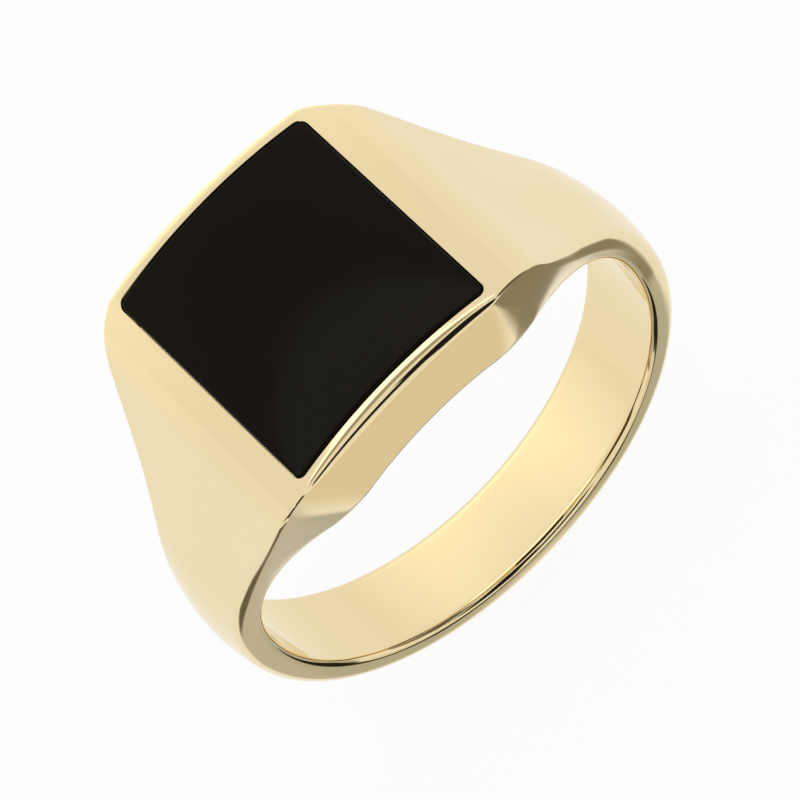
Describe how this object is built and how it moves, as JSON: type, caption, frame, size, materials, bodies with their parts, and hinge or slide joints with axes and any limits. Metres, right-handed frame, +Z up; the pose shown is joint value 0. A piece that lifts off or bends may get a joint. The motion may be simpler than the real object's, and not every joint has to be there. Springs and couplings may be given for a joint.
{
  "type": "signet ring",
  "caption": "Polished yellow gold signet ring with a flush rectangular black onyx, faceted sweeping shoulders and a slim rounded shank.",
  "frame": {"origin": "centre of the finger hole, midway along the finger", "axes": "+Y along the finger, +Z up through the middle of the head, +X across the finger"},
  "size_m": [0.0226, 0.0122, 0.0249],
  "materials": {
    "yellow_gold": null,
    "black_onyx": "polished black onyx",
    "cement": "thin cured adhesive"
  },
  "bodies": {
    "root": {"ring_body": "yellow_gold", "onyx_stone": "black_onyx", "cement_bed": "cement"}
  },
  "joints": []
}
